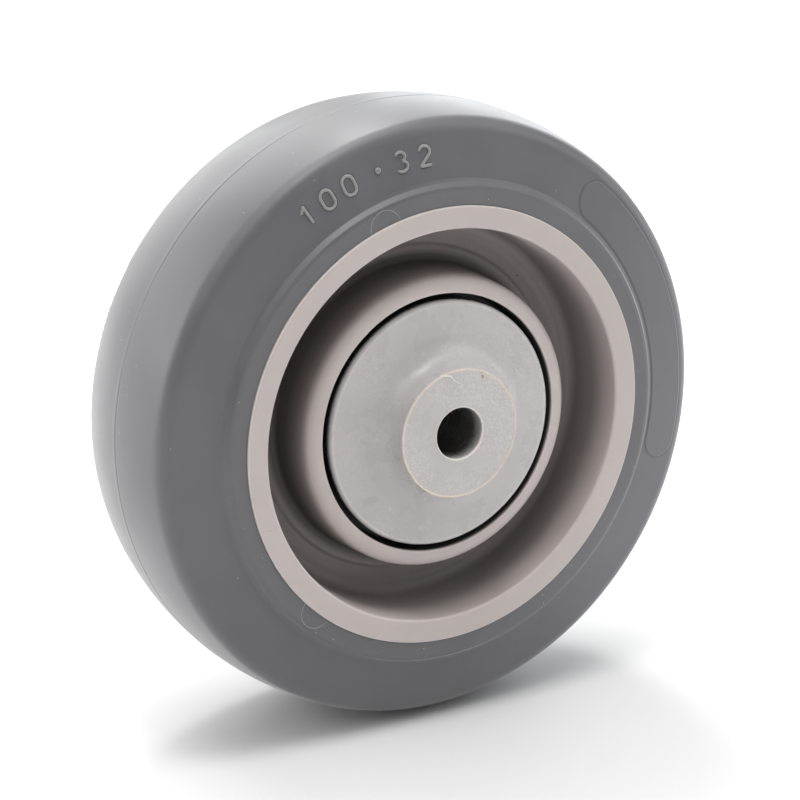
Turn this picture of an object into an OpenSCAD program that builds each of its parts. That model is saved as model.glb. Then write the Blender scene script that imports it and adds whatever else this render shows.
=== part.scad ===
// A rubber-tyred castor wheel on a moulded centre, with a ball bearing
// held between two thread guards. The axle runs along Y; the origin is the
// wheel's centre; the front side is the one towards -Y.

/* [Wheel] */
// Diameter over the crown of the tread
wheel_d = 100; // [92:1:125]
// Width over the raised bands beside the rim
tyre_w = 32; // [31:0.5:38]

/* [Tyre] */
// Radius of the crowned tread in section
crown_r = 49; // [40:1:100]
// Radius of the two shoulders of the tread
shoulder_r = 2.2; // [1.5:0.1:4]
// Depth of the flat side below the raised band
band_step = 1.2; // [0.6:0.1:1.6]
// Width of the raised band round the rim
band_w = 2.75; // [2:0.05:4]
// How far the step runs out from the raised band to the flat side
step_run = 1.3; // [1:0.1:2]
// Rounding at the foot and the top of the step
step_fillet = 1.4; // [0.4:0.1:1.5]

/* [Rim and web] */
// Width of the open ring between the hub and the rim, at their faces
ring_w = 7.95; // [7:0.05:9]
// How far each rim face stands proud of the tyre
rim_proud = 0.3; // [0.1:0.1:0.8]
// Width of the rim's flat face ring
rim_wall = 3.7; // [2.5:0.1:4.5]
// Rounding of the rim's inner edge
mouth_rounding = 0.5; // [0.3:0.1:1.2]
// Draft of the barrel's inner wall, in degrees
barrel_draft = 1.8; // [0.5:0.1:3]
// Thickness of the web
web_t = 7; // [5:0.2:9]
// Fillet between the web and the barrel
barrel_fillet = 1.5; // [0.6:0.1:2]
// Depth of the shallow ring groove in each side of the web
groove_depth = 0.35; // [0.1:0.05:0.6]
// Width of that groove, which starts at the barrel's fillet
groove_w = 3.15; // [2:0.05:3.5]
// Height of the key rib that the tyre is moulded round
rib_h = 5; // [3:0.5:5.5]
// Width of the key rib at its root
rib_root_w = 5; // [3:0.5:6]
// Width of the key rib at its tip
rib_tip_w = 8; // [6:0.5:10]

/* [Hub] */
// Width over the two hub rings
hub_w = 26.3; // [24:0.1:28]
// Wall outside the guard's recess, at the hub ring
hub_wall = 2.7; // [2:0.1:3.2]
// Rounding of the hub ring's outer edge
hub_rounding = 1.6; // [0.6:0.1:2]
// Draft of the hub's outer wall, in degrees
hub_draft = 4; // [1:0.5:5]
// Fillet between the web and the hub
hub_fillet = 0.8; // [0.4:0.1:1.2]
// Thickness of the walls beside the bearing
lip_t = 2.5; // [1.5:0.1:3]
// Height of the shoulder that stops the bearing
lip_h = 1.7; // [1:0.1:2]
// Height of the snap bead that holds the bearing in
bead_h = 0.3; // [0.15:0.05:0.5]

/* [Thread guards] */
// Length over the two bosses, which fills the fork
hub_length = 38; // [35:0.5:44]
// Diameter of each guard's disc
guard_d = 40; // [39:0.5:42]
// Gap round each disc, in the hub's recess
guard_gap = 1; // [0.5:0.1:1.5]
// How far each disc's edge stands proud of the hub ring
guard_proud = 0.25; // [0:0.05:0.5]
// Thickness of each disc at its edge
guard_t = 2; // [1.5:0.1:2.4]
// Rounding of each disc's edge
guard_rounding = 0.9; // [0.3:0.1:1.2]
// Rise of the disc from its edge to the boss, before the flare
guard_rise = 0.4; // [0.2:0.1:1.2]
// Radius of the flare from the disc up to the boss
flare_r = 4.6; // [2:0.1:5]
// Diameter of each boss
boss_d = 20.8; // [19:0.1:21.4]
// Straight height left on each boss above the flare
boss_step = 0.6; // [0.3:0.1:1.5]
// Diameter of the bore for the axle
axle_bore_d = 8.3; // [6:0.1:10.3]

/* [Bearing] */
// Bore of the bearing
bearing_bore = 15; // [14:0.5:16]
// Outer diameter of the bearing
bearing_od = 35; // [34:0.5:37]
// Width of the bearing
bearing_w = 11; // [10:0.5:12]
// Diameter of the balls
ball_d = 5.95; // [5.5:0.05:6.2]
// Thickness of the cage's sheet
cage_t = 0.6; // [0.4:0.05:0.7]
// Width of the cage's ring
cage_w = 2.4; // [1.8:0.1:2.6]
// Thickness of the shields
shield_t = 0.4; // [0.3:0.05:0.5]
// Diameter of the cage's rivets
rivet_d = 0.9; // [0.7:0.05:1.1]

/* [Fits] */
// Gap between pieces that are pressed or moulded together
press_gap = 0.02; // [0.01:0.01:0.05]
// Gap between each ball and the raceways
race_gap = 0.05; // [0.04:0.01:0.1]
// Gap between each ball and its pocket in the cage
pocket_gap = 0.12; // [0.08:0.01:0.2]
// Gap between the shields and the inner ring
shield_gap = 0.25; // [0.15:0.05:0.4]
// Gap between the two sleeves inside the bearing
sleeve_gap = 0.4; // [0.2:0.1:1]

/* [Hidden] */
ball_count = 8;
BALLS = [for (i = [1:ball_count]) str("ball_", i)];
$fn = 96;

// Radii and half widths that more than one piece is worked out from
wheel_r = wheel_d / 2;
tyre_z = tyre_w / 2;
band_z = tyre_z - band_step;
rim_z = tyre_z + rim_proud;
hub_z = hub_w / 2;
web_z = web_t / 2;
recess_r = guard_d / 2 + guard_gap;
hub_top_r = recess_r + hub_wall;
hub_foot_r = hub_top_r + (hub_z - web_z) * tan(hub_draft);
mouth_r = hub_top_r + ring_w;
rim_r = mouth_r + rim_wall;
barrel_foot_r = mouth_r - (rim_z - web_z) * tan(barrel_draft);
groove_out_r = barrel_foot_r - barrel_fillet;
groove_in_r = groove_out_r - groove_w;
rib_tip_r = rim_r + rib_h;
band_top_r = rim_r + band_w;
band_foot_r = band_top_r + step_run;

bearing_r = bearing_od / 2;
bearing_z = bearing_w / 2;
seat_r = bearing_r + press_gap;
floor_z = bearing_z + lip_t;
bead_z = bearing_z + 0.2;
lead_in = 0.6;

ball_r = ball_d / 2;
pitch_r = (bearing_bore + bearing_od) / 4;
race_r = 1.04 * ball_r;
race_depth = 0.44 * ball_r;
land_in_r = pitch_r - ball_r + race_depth;
land_out_r = pitch_r + ball_r - race_depth;
pocket_r = ball_r + pocket_gap;
ring_chamfer = 0.6;
land_chamfer = 0.2;

shield_r = land_out_r + 1;
shield_joggle = 0.3;
shield_z = bearing_z - shield_t - shield_joggle - 0.25;

boss_r = boss_d / 2;
boss_z = hub_length / 2;
guard_r = guard_d / 2;
guard_z = hub_z + guard_proud;
flare_z = guard_z + guard_rise;
sleeve_r = bearing_bore / 2 - press_gap;
bore_r = axle_bore_d / 2;

// Unit vector along v
function along(v) = v / norm(v);

// Points on an arc round c, from angle a0 to angle a1
function arc(c, r, a0, a1, n) =
    [for (i = [0:n]) let (a = a0 + (a1 - a0) * i / n) c + r * [cos(a), sin(a)]];

// Arc of radius r that rounds the corner q between its neighbours p and s
function round_corner(p, q, s, r, n) =
    let (
        u = along(p - q),
        v = along(s - q),
        half = acos(u * v) / 2,
        c = q + along(u + v) * r / sin(half),
        d0 = q + u * r / tan(half) - c,
        d1 = q + v * r / tan(half) - c,
        a0 = atan2(d0.y, d0.x),
        turn = atan2(d0.x * d1.y - d0.y * d1.x, d0 * d1)
    )
    arc(c, r, a0, a0 + turn, n);

function xy(p) = [p.x, p.y];

// Closed outline through corners [radius, height, rounding]
function outline(corners, n = 7) =
    [for (i = [0:len(corners) - 1])
        let (
            m = len(corners),
            q = corners[i],
            p = corners[(i + m - 1) % m],
            s = corners[(i + 1) % m]
        )
        each q[2] == 0 ? [xy(q)] : round_corner(xy(p), xy(q), xy(s), q[2], n)];

// The same corners on the back side, in the order that carries the outline on
function back(corners) =
    [for (i = [len(corners) - 1:-1:0]) [corners[i].x, -corners[i].y, corners[i][2]]];

function sharp(points) = [for (p = points) [p.x, p.y, 0]];

// A body of revolution about the axle, from corners [radius, height, rounding]
module turned(corners) {
    rotate_extrude()
        polygon(outline(corners));
}

// Stands a shape that was made round Z on the axle: its top faces the front
module on_axle() {
    rotate([90, 0, 0])
        children();
}

// The back twin of a shape made for the front
module on_back() {
    mirror([0, 1, 0])
        on_axle()
            children();
}

// Places one copy at each ball, with the first at the top
module at_balls(offset = 0) {
    for (i = [0:ball_count - 1])
        at_ball(i + offset)
            children();
}

module at_ball(i) {
    rotate([0, 0, 90 - i * 360 / ball_count])
        translate([pitch_r, 0, 0])
            children();
}

// Tyre: crowned tread, round shoulders, flat sides with a raised inner band,
// moulded round the rim's key rib
crown_c = [wheel_r - crown_r, 0];
shoulder_c = [
    crown_c.x + sqrt(pow(crown_r - shoulder_r, 2) - pow(band_z - shoulder_r, 2)),
    band_z - shoulder_r
];
shoulder_a = atan2(shoulder_c.y, shoulder_c.x - crown_c.x);
tyre_side = concat(
    sharp(arc(shoulder_c, shoulder_r, shoulder_a, 90, 10)),
    [
        [band_foot_r, band_z, step_fillet],
        [band_top_r, tyre_z, step_fillet],
        [rim_r + press_gap, tyre_z, 0],
        [rim_r + press_gap, rib_root_w / 2 + press_gap, 0],
        [rib_tip_r + press_gap, rib_tip_w / 2 + press_gap, 0.5]
    ]
);

module tyre() {
    color([0.45, 0.46, 0.47])
        on_axle()
            turned(concat(
                sharp(arc(crown_c, crown_r, -shoulder_a, shoulder_a, 24)),
                tyre_side,
                back(tyre_side)
            ));
}

// Wheel centre: rim barrel with its key rib, web, and a hub with a recess for
// each guard and a seat that the bearing is pressed into from the back
centre_side = [
    [rim_r, rim_z, 0.3],
    [mouth_r, rim_z, mouth_rounding],
    [barrel_foot_r, web_z, barrel_fillet],
    [groove_out_r - 0.05, web_z, 0],
    [groove_out_r - 0.5, web_z - groove_depth, 0],
    [groove_in_r + 0.15, web_z - groove_depth, 0],
    [groove_in_r, web_z, 0],
    [hub_foot_r, web_z, hub_fillet],
    [hub_top_r, hub_z, hub_rounding],
    [recess_r, hub_z, 0.3],
    [recess_r, floor_z, 0.5]
];

module wheel_centre() {
    color([0.73, 0.71, 0.69])
        on_axle()
            turned(concat(
                centre_side,
                [
                    [bearing_r - lip_h, floor_z, 0.4],
                    [bearing_r - lip_h, bearing_z, 0],
                    [seat_r, bearing_z, 0.25],
                    [seat_r, -bead_z, 0],
                    [seat_r - bead_h, -bead_z - bead_h, 0.15],
                    [seat_r + lead_in, -floor_z, 0]
                ],
                back(centre_side),
                [
                    [rim_r, -rib_root_w / 2, 0],
                    [rib_tip_r, -rib_tip_w / 2, 0.5],
                    [rib_tip_r, rib_tip_w / 2, 0.5],
                    [rim_r, rib_root_w / 2, 0]
                ]
            ));
}

// Raceway whose bottom lies at radius bottom; side is 1 where it faces outwards
module raceway(bottom, side) {
    rotate_extrude()
        translate([bottom + side * race_r, 0])
            circle(r = race_r);
}

module bearing_outer_ring() {
    side = [
        [bearing_r, bearing_z, ring_chamfer],
        [shield_r, bearing_z, 0],
        [shield_r, shield_z, 0],
        [land_out_r, shield_z, land_chamfer]
    ];
    color([0.72, 0.73, 0.75])
        on_axle()
            difference() {
                turned(concat(side, back(side)));
                raceway(pitch_r + ball_r + race_gap, -1);
            }
}

module bearing_inner_ring() {
    side = [
        [land_in_r, bearing_z, land_chamfer],
        [bearing_bore / 2, bearing_z, ring_chamfer]
    ];
    color([0.72, 0.73, 0.75])
        on_axle()
            difference() {
                turned(concat(side, back(side)));
                raceway(pitch_r - ball_r - race_gap, 1);
            }
}

module ball(i) {
    color([0.82, 0.83, 0.85])
        on_axle()
            at_ball(i)
                sphere(r = ball_r);
}

// One pressed half of the cage: a flat ring with a half-round pocket per ball
module cage_half() {
    color([0.6, 0.6, 0.58])
        difference() {
            intersection() {
                union() {
                    cylinder(r = pitch_r + cage_w, h = cage_t);
                    at_balls()
                        sphere(r = pocket_r + cage_t);
                }
                difference() {
                    cylinder(r = pitch_r + cage_w / 2, h = pocket_r + 2 * cage_t);
                    translate([0, 0, -1])
                        cylinder(r = pitch_r - cage_w / 2, h = pocket_r + 2 * cage_t + 2);
                }
            }
            at_balls()
                sphere(r = pocket_r);
            at_balls(0.5)
                translate([0, 0, -1])
                    cylinder(d = rivet_d + 2 * press_gap, h = cage_t + 2);
        }
}

// Rivets between the balls, with a round head on each half of the cage
module cage_rivets() {
    head_r = 0.85 * rivet_d;
    head_h = 0.4 * rivet_d;
    color([0.66, 0.66, 0.64])
        on_axle()
            at_balls(0.5)
                turned([
                    [0, cage_t + head_h, 0],
                    [head_r, cage_t + head_h, 0.8 * head_h],
                    [head_r, cage_t, 0],
                    [rivet_d / 2, cage_t, 0],
                    [rivet_d / 2, -cage_t, 0],
                    [head_r, -cage_t, 0],
                    [head_r, -cage_t - head_h, 0.8 * head_h],
                    [0, -cage_t - head_h, 0]
                ]);
}

// Pressed shield: its rim sits in the outer ring, its joggled disc stays clear
// of the inner ring
module bearing_shield() {
    rim = shield_r - press_gap;
    top = shield_z + shield_t;
    color([0.66, 0.67, 0.68])
        turned([
            [rim, shield_z, 0],
            [rim, top, 0],
            [rim - 0.45, top, 0],
            [rim - 0.85, top + shield_joggle, 0],
            [land_in_r + shield_gap, top + shield_joggle, 0],
            [land_in_r + shield_gap, shield_z + shield_joggle, 0],
            [rim - 1, shield_z + shield_joggle, 0],
            [rim - 0.6, shield_z, 0]
        ]);
}

// Thread guard: a domed disc that covers the hub's recess, flaring up to a
// boss that meets the fork, with a sleeve that fits inside the bearing
module thread_guard() {
    color([0.69, 0.69, 0.68])
        turned([
            [bore_r, boss_z, 0.15],
            [boss_r, boss_z, 0.15],
            [boss_r, flare_z, min(flare_r, boss_z - boss_step - flare_z)],
            [guard_r, guard_z, guard_rounding],
            [guard_r, guard_z - guard_t, 0.3],
            [boss_r + 1, guard_z - guard_t, 0.8],
            [boss_r, bearing_z, 0],
            [sleeve_r, bearing_z, 0],
            [sleeve_r, sleeve_gap / 2, 0.5],
            [bore_r, sleeve_gap / 2, 0.15]
        ]);
}

tyre();
wheel_centre();
bearing_outer_ring();
bearing_inner_ring();
for (i = [0:ball_count - 1])
    ball(i);
on_axle() cage_half();  // cage_half_front
on_back() cage_half();  // cage_half_back
cage_rivets();
on_axle() bearing_shield();  // bearing_shield_front
on_back() bearing_shield();  // bearing_shield_back
on_axle() thread_guard();  // thread_guard_front
on_back() thread_guard();  // thread_guard_back
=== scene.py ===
import math

import bpy
import numpy as np
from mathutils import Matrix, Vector


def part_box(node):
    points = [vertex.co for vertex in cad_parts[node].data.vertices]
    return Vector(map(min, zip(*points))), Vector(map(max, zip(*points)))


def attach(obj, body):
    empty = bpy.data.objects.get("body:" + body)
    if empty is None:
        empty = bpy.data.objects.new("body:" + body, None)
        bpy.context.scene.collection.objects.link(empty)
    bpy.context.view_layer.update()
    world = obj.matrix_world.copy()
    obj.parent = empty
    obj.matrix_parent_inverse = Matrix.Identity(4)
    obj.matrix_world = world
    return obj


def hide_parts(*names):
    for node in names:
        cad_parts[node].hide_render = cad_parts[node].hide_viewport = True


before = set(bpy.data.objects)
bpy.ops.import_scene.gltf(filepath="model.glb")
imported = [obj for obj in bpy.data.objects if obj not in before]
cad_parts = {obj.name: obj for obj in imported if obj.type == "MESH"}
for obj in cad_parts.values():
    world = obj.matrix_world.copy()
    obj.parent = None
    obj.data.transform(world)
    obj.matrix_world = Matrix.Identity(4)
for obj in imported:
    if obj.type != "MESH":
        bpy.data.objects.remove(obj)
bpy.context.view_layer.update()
print("frame loaded:", len(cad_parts), "nodes")

mm = 0.001
turn = 2 * math.pi

# The wheel's own sizes in millimetres, read from the frame. The visible side faces -Y.
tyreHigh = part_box("tyre")[1] / mm
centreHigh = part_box("wheel_centre")[1] / mm
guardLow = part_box("thread_guard_front")[0] / mm
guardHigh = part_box("thread_guard_front")[1] / mm
treadRadius = tyreHigh.z
tyreHalf = tyreHigh.y
rimHalf = centreHigh.y
ribTip = centreHigh.z
guardRadius = guardHigh.z
bossHalf = -guardLow.y


# Mesh tools. A part is (points, quads, triangles); a piece joins parts into one object.

def unit(v):
    # Each vector divided by its length.
    return v / np.linalg.norm(v, axis=-1, keepdims=True)


def gridPart(points, closeRows=False, closeColumns=False):
    # Quads between neighbours of a (rows, columns, 3) grid of points, joined round where it closes.
    rows, columns = points.shape[:2]
    index = np.arange(rows * columns).reshape(rows, columns)
    if closeRows:
        index = np.vstack([index, index[:1]])
    if closeColumns:
        index = np.hstack([index, index[:, :1]])
    quads = np.stack([index[:-1, :-1], index[1:, :-1], index[1:, 1:], index[:-1, 1:]], axis=-1)
    return points.reshape(-1, 3), quads.reshape(-1, 4), np.zeros((0, 3), int)


def sweptRings(path, along, up, width, height, sides):
    # Ellipse of half sizes width and height at each point of the path: point + sideways * width * cos(a)
    # + up * height * sin(a), with up turned square to the path.
    along = unit(along)
    up = unit(up - along * np.sum(up * along, axis=-1, keepdims=True))
    sideways = np.cross(along, up)
    a = turn * np.arange(sides) / sides
    w = np.broadcast_to(width, len(path))[:, None, None]
    h = np.broadcast_to(height, len(path))[:, None, None]
    return path[:, None] + sideways[:, None] * w * np.cos(a)[:, None] + up[:, None] * h * np.sin(a)[:, None]


def tubePart(path, up, width, height, sides):
    # The ellipse carried along the path, closed at both ends by a fan to the path's own end point.
    rings = sweptRings(path, np.gradient(path, axis=0), up, width, height, sides)
    points, quads, _ = gridPart(rings, closeColumns=True)
    first = np.arange(sides)
    second = np.roll(first, -1)
    last = (len(path) - 1) * sides
    poles = len(points)
    start = np.stack([np.full(sides, poles), first, second], axis=-1)
    end = np.stack([np.full(sides, poles + 1), last + second, last + first], axis=-1)
    return np.vstack([points, path[:1], path[-1:]]), quads, np.vstack([start, end])


def loopPart(path, up, width, height, sides):
    # The ellipse carried round a closed path, whose ends join.
    along = np.roll(path, -1, axis=0) - np.roll(path, 1, axis=0)
    return gridPart(sweptRings(path, along, up, width, height, sides), closeRows=True, closeColumns=True)


def joinParts(parts):
    # Stacks the points and shifts each part's face indices past the points before it.
    shifts = np.cumsum([0] + [len(p[0]) for p in parts[:-1]])
    points = np.vstack([p[0] for p in parts])
    quads = np.vstack([p[1] + s for p, s in zip(parts, shifts)])
    triangles = np.vstack([p[2] + s for p, s in zip(parts, shifts)])
    return points, quads, triangles


def makePiece(name, parts, material, body, replaced=()):
    # One smooth-shaded object from its parts, in millimetres; it rides on its body and stands in for the
    # CAD nodes that it replaces.
    points, quads, triangles = joinParts(parts)
    mesh = bpy.data.meshes.new(name)
    loops = np.concatenate([quads.ravel(), triangles.ravel()])
    starts = np.concatenate([4 * np.arange(len(quads)), 4 * len(quads) + 3 * np.arange(len(triangles))])
    mesh.vertices.add(len(points))
    mesh.vertices.foreach_set("co", (points * mm).astype(np.float32).ravel())
    mesh.loops.add(len(loops))
    mesh.loops.foreach_set("vertex_index", loops.astype(np.int32))
    mesh.polygons.add(len(starts))
    mesh.polygons.foreach_set("loop_start", starts.astype(np.int32))
    mesh.polygons.foreach_set("use_smooth", np.ones(len(starts), bool))
    mesh.update(calc_edges=True)
    mesh.validate()
    mesh.materials.append(material)
    piece = bpy.data.objects.new(name, mesh)
    bpy.context.scene.collection.objects.link(piece)
    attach(piece, body)
    if replaced:
        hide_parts(*replaced)
    print("made", name, len(quads) * 2 + len(triangles), "triangles")


arc = {
    "stepsBase": 3, "stepsPerRadius": 2, "fewest": 3, "most": 14,     # steps of a rounded corner
    "beside": 0.08, "besideShare": 0.3,     # distance of the points beside it, or share of the free length
}


def roundedOutline(corners):
    # Each corner (radius, height, rounding) becomes an arc tangent to its two sides. One more point
    # just beside each end of the arc keeps the flat stretches flat under smooth shading.
    corner = np.array(corners, float)
    here = corner[:, :2]
    back = np.roll(here, 1, axis=0) - here
    ahead = np.roll(here, -1, axis=0) - here
    half = np.arccos(np.clip(np.sum(unit(back) * unit(ahead), axis=1), -1, 1)) / 2
    cut = corner[:, 2] / np.tan(half)
    freeAhead = np.linalg.norm(ahead, axis=1) - cut - np.roll(cut, -1)
    freeBack = np.roll(freeAhead, 1)
    points = []
    for i, (p, u, v) in enumerate(zip(here, unit(back), unit(ahead))):
        rounding = corner[i, 2]
        if rounding == 0:
            points.append(p[None])
            continue
        middle = p + unit(u + v) * rounding / np.sin(half[i])
        start = p + u * cut[i]
        end = p + v * cut[i]
        a = start - middle
        b = end - middle
        sweep = math.atan2(a[0] * b[1] - a[1] * b[0], a @ b)
        steps = round(abs(sweep) * (arc["stepsBase"] + arc["stepsPerRadius"] * rounding))
        steps = int(np.clip(steps, arc["fewest"], arc["most"]))
        angles = math.atan2(a[1], a[0]) + sweep * np.linspace(0, 1, steps + 1)
        points.append((start + u * min(arc["beside"], freeBack[i] * arc["besideShare"]))[None])
        points.append(middle + rounding * np.stack([np.cos(angles), np.sin(angles)], axis=1))
        points.append((end + v * min(arc["beside"], freeAhead[i] * arc["besideShare"]))[None])
    return np.vstack(points)


def mirrored(outline):
    # The same outline on the back side, in the order that carries the loop on.
    flipped = np.array(outline, float)
    flipped[:, 1] *= -1
    return flipped[::-1]


def lathe(outline, steps):
    # Each outline point (radius, height) turns about the axle: x = r sin(a), y = -height, z = r cos(a).
    # The loop runs the way round that turns the faces outwards, which its signed area tells.
    r, h = outline[:, :1], outline[:, 1:]
    area = np.sum(outline[:, 0] * np.roll(outline[:, 1], -1) - np.roll(outline[:, 0], -1) * outline[:, 1])
    if area < 0:
        r, h = r[::-1], h[::-1]
    a = turn * np.arange(steps)[None] / steps
    points = np.stack([r * np.sin(a), -h + 0 * a, r * np.cos(a)], axis=-1)
    return gridPart(points, closeRows=True, closeColumns=True)


def onSide(radius, angle, height):
    # A point on the visible side: angle in radians clockwise from the top, height along -Y.
    radius, angle, height = np.broadcast_arrays(radius, angle, height)
    return np.stack([radius * np.sin(angle), -height, radius * np.cos(angle)], axis=-1)


towardsFront = np.array([0.0, -1.0, 0.0])


# Shader nodes, and the node groups that more than one finish uses.

def addNode(tree, kind, settings=None, values=None, links=None):
    # One node with its settings, the plain values of its inputs and the sockets linked to them.
    node = tree.nodes.new(kind)
    for key, value in (settings or {}).items():
        setattr(node, key, value)
    for key, value in (values or {}).items():
        node.inputs[key].default_value = value
    for key, socket in (links or {}).items():
        tree.links.new(socket, node.inputs[key])
    return node


def addMath(tree, operation, *terms):
    # One maths node; a term is a number or a socket.
    node = tree.nodes.new("ShaderNodeMath")
    node.operation = operation
    for i, term in enumerate(terms):
        if isinstance(term, (int, float)):
            node.inputs[i].default_value = term
        else:
            tree.links.new(term, node.inputs[i])
    return node.outputs[0]


def addRamp(tree, value, start, soft):
    # clamp((value - start) / soft + 0.5)
    ramp = addMath(tree, "ADD", addMath(tree, "DIVIDE", addMath(tree, "SUBTRACT", value, start), soft), 0.5)
    ramp.node.use_clamp = True
    return ramp


def addLength(tree, x, y):
    # sqrt(x * x + y * y)
    return addMath(tree, "SQRT", addMath(tree, "ADD", addMath(tree, "MULTIPLY", x, x),
                                         addMath(tree, "MULTIPLY", y, y)))


def addNoise(tree, place, scale, detail, rough=0.5):
    noise = addNode(tree, "ShaderNodeTexNoise", values={"Detail": detail, "Roughness": rough},
                    links={"Vector": place, "Scale": scale})
    return noise.outputs["Fac"]


def objectPlace(tree):
    return addNode(tree, "ShaderNodeTexCoord").outputs["Object"]


def aroundAxle(tree, place):
    # Radius from the axle, distance from the middle plane, turn clockwise from the top, and plain Y.
    split = addNode(tree, "ShaderNodeSeparateXYZ", links={"Vector": place})
    x, y, z = split.outputs["X"], split.outputs["Y"], split.outputs["Z"]
    return addLength(tree, x, z), addMath(tree, "ABSOLUTE", y), addMath(tree, "ARCTAN2", x, z), y


def newGroup(name, inputs, outputs):
    # Inputs are (label, value), where the value's type tells the socket's; Vector has none.
    group = bpy.data.node_groups.new(name, "ShaderNodeTree")
    group.interface.new_socket("Vector", in_out="INPUT", socket_type="NodeSocketVector")
    for label, value in inputs:
        kind = "NodeSocketFloat" if isinstance(value, float) else "NodeSocketColor"
        group.interface.new_socket(label, in_out="INPUT", socket_type=kind).default_value = value
    for label, kind in outputs:
        group.interface.new_socket(label, in_out="OUTPUT", socket_type=kind)
    given = group.nodes.new("NodeGroupInput").outputs
    result = group.nodes.new("NodeGroupOutput").inputs
    return group, given, result


maskOutput = [("Mask", "NodeSocketFloat")]


def grainGroup():
    # Height of a moulded surface: a fine noise plus a coarse one times its weight.
    group, given, result = newGroup("mouldGrain", [
        ("Scale", 3000.0),
        ("Coarse Scale", 400.0),
        ("Coarse Weight", 0.5),
    ], [("Height", "NodeSocketFloat")])
    fine = addNoise(group, given["Vector"], given["Scale"], 3.0, 0.6)
    coarse = addNoise(group, given["Vector"], given["Coarse Scale"], 2.0)
    group.links.new(addMath(group, "MULTIPLY_ADD", coarse, given["Coarse Weight"], fine), result["Height"])
    return group


def cloudGroup():
    # Colour that drifts between two close shades in soft clouds.
    group, given, result = newGroup("cloudyShade", [
        ("Shade A", (0.5, 0.5, 0.5, 1)),
        ("Shade B", (0.4, 0.4, 0.4, 1)),
        ("Scale", 60.0),
    ], [("Color", "NodeSocketColor"), ("Fac", "NodeSocketFloat")])
    big = addNoise(group, given["Vector"], given["Scale"], 4.0, 0.62)
    spread = addNode(group, "ShaderNodeMapRange", {"interpolation_type": "SMOOTHSTEP"},
                     {"From Min": 0.3, "From Max": 0.7}, {"Value": big})
    mix = addNode(group, "ShaderNodeMix", {"data_type": "RGBA"},
                  links={"Factor": spread.outputs["Result"], "A": given["Shade A"], "B": given["Shade B"]})
    group.links.new(mix.outputs["Result"], result["Color"])
    group.links.new(spread.outputs["Result"], result["Fac"])
    return group


def speckGroup():
    # Mask of sparse specks, in the cells whose random red lies below Share: how far a point lies inside
    # the cell's random green * Size, over a soft edge.
    group, given, result = newGroup("dustSpecks", [
        ("Scale", 300.0),
        ("Size", 0.08),
        ("Share", 0.1),
    ], maskOutput)
    cells = addNode(group, "ShaderNodeTexVoronoi", {"feature": "F1"},
                    links={"Vector": given["Vector"], "Scale": given["Scale"]})
    shade = addNode(group, "ShaderNodeSeparateColor", links={"Color": cells.outputs["Color"]})
    chosen = addMath(group, "LESS_THAN", shade.outputs["Red"], given["Share"])
    reach = addMath(group, "MULTIPLY", shade.outputs["Green"], given["Size"])
    inside = addMath(group, "SUBTRACT", reach, cells.outputs["Distance"])
    soft = addNode(group, "ShaderNodeMapRange", values={"From Min": 0.0, "From Max": 0.02},
                   links={"Value": inside})
    group.links.new(addMath(group, "MULTIPLY", soft.outputs["Result"], chosen), result["Mask"])
    return group


def frostGroup():
    # Mask of fine light flecks that gather in patches: peaks of a fine noise where a slow one is high.
    fleckFrom, fleckSoft, patchSoft = 0.56, 0.2, 0.25
    group, given, result = newGroup("frostFlecks", [
        ("Scale", 3000.0),
        ("Patch Scale", 80.0),
        ("Patch From", 0.45),
    ], maskOutput)
    fine = addNoise(group, given["Vector"], given["Scale"], 2.0, 0.6)
    slow = addNoise(group, given["Vector"], given["Patch Scale"], 1.0)
    flecks = addRamp(group, fine, fleckFrom, fleckSoft)
    patches = addRamp(group, slow, given["Patch From"], patchSoft)
    group.links.new(addMath(group, "MULTIPLY", flecks, patches), result["Mask"])
    return group


def ringGroup():
    # Mask of a ring about the axle: 1 where the radius lies between Inner and Outer and the distance
    # from the middle plane between Low and High, each edge falling off over Soft.
    group, given, result = newGroup("ringBand", [
        ("Inner", 0.0),
        ("Outer", 1.0),
        ("Low", 0.0),
        ("High", 1.0),
        ("Soft", 0.0002),
        ("Soft Height", 0.0002),
    ], maskOutput)
    radius, height, _, _ = aroundAxle(group, given["Vector"])
    across = addMath(group, "MULTIPLY", addRamp(group, radius, given["Inner"], given["Soft"]),
                     addRamp(group, given["Outer"], radius, given["Soft"]))
    along = addMath(group, "MULTIPLY", addRamp(group, height, given["Low"], given["Soft Height"]),
                    addRamp(group, given["High"], height, given["Soft Height"]))
    group.links.new(addMath(group, "MULTIPLY", across, along), result["Mask"])
    return group


groups = {"grain": grainGroup(), "cloud": cloudGroup(), "specks": speckGroup(), "frost": frostGroup(),
          "ring": ringGroup()}
print("shader groups ready")


def placeGroup(tree, key, place, values):
    # One of the groups, reading the given place, with its own values; gives its outputs.
    return addNode(tree, "ShaderNodeGroup", {"node_tree": groups[key]}, values, {"Vector": place}).outputs


def newFinish(name):
    material = bpy.data.materials.new(name)
    material.use_nodes = True
    return material, material.node_tree, material.node_tree.nodes["Principled BSDF"]


def roughnessFrom(tree, shader, socket, low, high):
    spread = addNode(tree, "ShaderNodeMapRange", values={"To Min": low, "To Max": high},
                     links={"Value": socket})
    tree.links.new(spread.outputs["Result"], shader.inputs["Roughness"])


def bumpFrom(tree, shader, socket, strength, distance):
    bump = addNode(tree, "ShaderNodeBump", values={"Strength": strength, "Distance": distance},
                   links={"Height": socket})
    tree.links.new(bump.outputs["Normal"], shader.inputs["Normal"])


def addTint(tree, factor, before, tint, blend="MIX"):
    # The colour before, with the tint laid over it as strongly as the factor says.
    mix = addNode(tree, "ShaderNodeMix", {"data_type": "RGBA", "blend_type": blend}, {"B": tint},
                  {"Factor": factor, "A": before})
    return mix.outputs["Result"]


sheenRough = 0.35


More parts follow.
